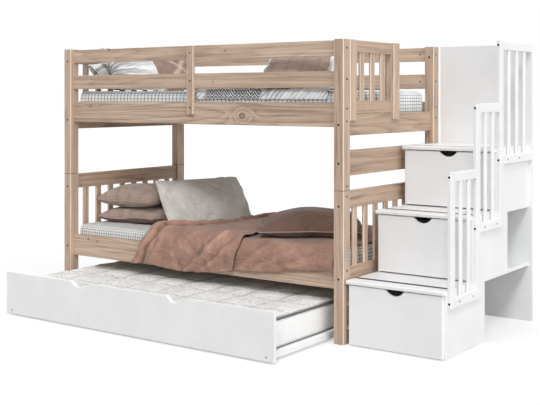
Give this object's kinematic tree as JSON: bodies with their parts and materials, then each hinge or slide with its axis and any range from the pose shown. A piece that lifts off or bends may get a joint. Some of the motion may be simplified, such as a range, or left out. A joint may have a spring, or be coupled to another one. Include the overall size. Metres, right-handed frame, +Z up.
{
  "type": "bunk bed with storage stairs",
  "caption": "Twin-over-twin bunk bed with a slatted timber frame, white storage staircase with drawers and guards, and a pull-out wheeled trundle, dressed with bedding.",
  "frame": {"origin": "middle of the whole part's footprint, on the floor, with the trundle half out as it stands", "axes": "+X along the bed from the head towards the stairs, +Y from the front to the back, +Z up"},
  "size_m": [2.589, 1.593, 1.5471],
  "materials": {
    "washed_oak": "satin, brushed grain",
    "plain_wood": "planed, unfinished",
    "white_lacquer": "satin white lacquer",
    "drawer_board": "melamine board",
    "steel_fixings": "dark zinc",
    "wheel_plastic": "satin",
    "check_sheet": "woven cotton",
    "white_ticking": "woven",
    "quilted_cotton": "quilted cotton",
    "terracotta_linen": "washed linen",
    "taupe_linen": "washed linen",
    "grey_linen": "slub linen",
    "patterned_cotton": "printed cotton"
  },
  "bodies": {
    "frame": {"barrel_nuts_and_pins": "steel_fixings", "bed_slats": "plain_wood", "drawer_runners": "steel_fixings", "end_slats": "washed_oak", "entry_guard_posts": "washed_oak", "entry_guard_rails": "washed_oak", "entry_guard_slats": "washed_oak", "foot_cushion": "taupe_linen", "frame_bolts_and_screws": "steel_fixings", "guard_battens": "washed_oak", "guard_rails": "washed_oak", "large_pillow": "grey_linen", "lower_blanket": "terracotta_linen", "lower_end_rails": "washed_oak", "lower_mattress": "check_sheet", "lower_post_back_foot": "washed_oak", "lower_post_back_head": "washed_oak", "lower_post_front_foot": "washed_oak", "lower_post_front_head": "washed_oak", "lower_side_rails": "washed_oak", "mattress_cleats": "plain_wood", "stacked_cushions": "taupe_linen", "stair_back_panel": "white_lacquer", "stair_bolts": "steel_fixings", "stair_box_backs": "white_lacquer", "stair_dowels_and_spacers": "plain_wood", "stair_guard_rails": "white_lacquer", "stair_guard_slats": "white_lacquer", "stair_guard_stiles": "white_lacquer", "stair_panels_bed_side": "white_lacquer", "stair_panels_open_side": "white_lacquer", "stair_shelves": "white_lacquer", "stair_treads": "white_lacquer", "upper_blanket": "patterned_cotton", "upper_foot_rails": "washed_oak", "upper_head_rails": "washed_oak", "upper_mattress": "check_sheet", "upper_pillows": "grey_linen", "upper_post_back_foot": "washed_oak", "upper_post_back_head": "washed_oak", "upper_post_front_foot": "washed_oak", "upper_post_front_head": "washed_oak", "upper_side_rails": "washed_oak"},
    "drawer_1": {"drawer_1_box": "drawer_board", "drawer_1_face": "white_lacquer"},
    "drawer_2": {"drawer_2_box": "drawer_board", "drawer_2_face": "white_lacquer"},
    "drawer_3": {"drawer_3_box": "drawer_board", "drawer_3_face": "white_lacquer"},
    "trundle": {"trundle_bolts": "steel_fixings", "trundle_casters": "steel_fixings", "trundle_face": "white_lacquer", "trundle_mattress": "white_ticking", "trundle_quilt": "quilted_cotton", "trundle_rails": "white_lacquer", "trundle_slats": "plain_wood"},
    "wheel_1": {"trundle_wheel_1": "wheel_plastic"},
    "wheel_2": {"trundle_wheel_2": "wheel_plastic"},
    "wheel_3": {"trundle_wheel_3": "wheel_plastic"},
    "wheel_4": {"trundle_wheel_4": "wheel_plastic"}
  },
  "joints": [
    {"name": "drawer_1_slide", "type": "slide", "parent": "frame", "child": "drawer_1", "axis": [0, -1, 0], "range_m": [0, 0.3]},
    {"name": "drawer_2_slide", "type": "slide", "parent": "frame", "child": "drawer_2", "axis": [0, -1, 0], "range_m": [0, 0.3]},
    {"name": "drawer_3_slide", "type": "slide", "parent": "frame", "child": "drawer_3", "axis": [0, -1, 0], "range_m": [0, 0.3]},
    {"name": "trundle_slide", "type": "slide", "parent": "frame", "child": "trundle", "axis": [0, -1, 0], "range_m": [-0.503, 0.48]},
    {"name": "wheel_1_roll", "type": "hinge", "parent": "trundle", "child": "wheel_1", "pos_m": [-1.1565, -0.6915, 0.019], "axis": [1, 0, 0], "continuous": true},
    {"name": "wheel_2_roll", "type": "hinge", "parent": "trundle", "child": "wheel_2", "pos_m": [-1.1565, 0.1095, 0.019], "axis": [1, 0, 0], "continuous": true},
    {"name": "wheel_3_roll", "type": "hinge", "parent": "trundle", "child": "wheel_3", "pos_m": [0.5875, -0.6915, 0.019], "axis": [1, 0, 0], "continuous": true},
    {"name": "wheel_4_roll", "type": "hinge", "parent": "trundle", "child": "wheel_4", "pos_m": [0.5875, 0.1095, 0.019], "axis": [1, 0, 0], "continuous": true}
  ],
  "couplings": [
    {"joint": "wheel_1_roll", "follows": "trundle_slide", "rad_per_m": 52.632},
    {"joint": "wheel_2_roll", "follows": "trundle_slide", "rad_per_m": 52.632},
    {"joint": "wheel_3_roll", "follows": "trundle_slide", "rad_per_m": 52.632},
    {"joint": "wheel_4_roll", "follows": "trundle_slide", "rad_per_m": 52.632}
  ]
}
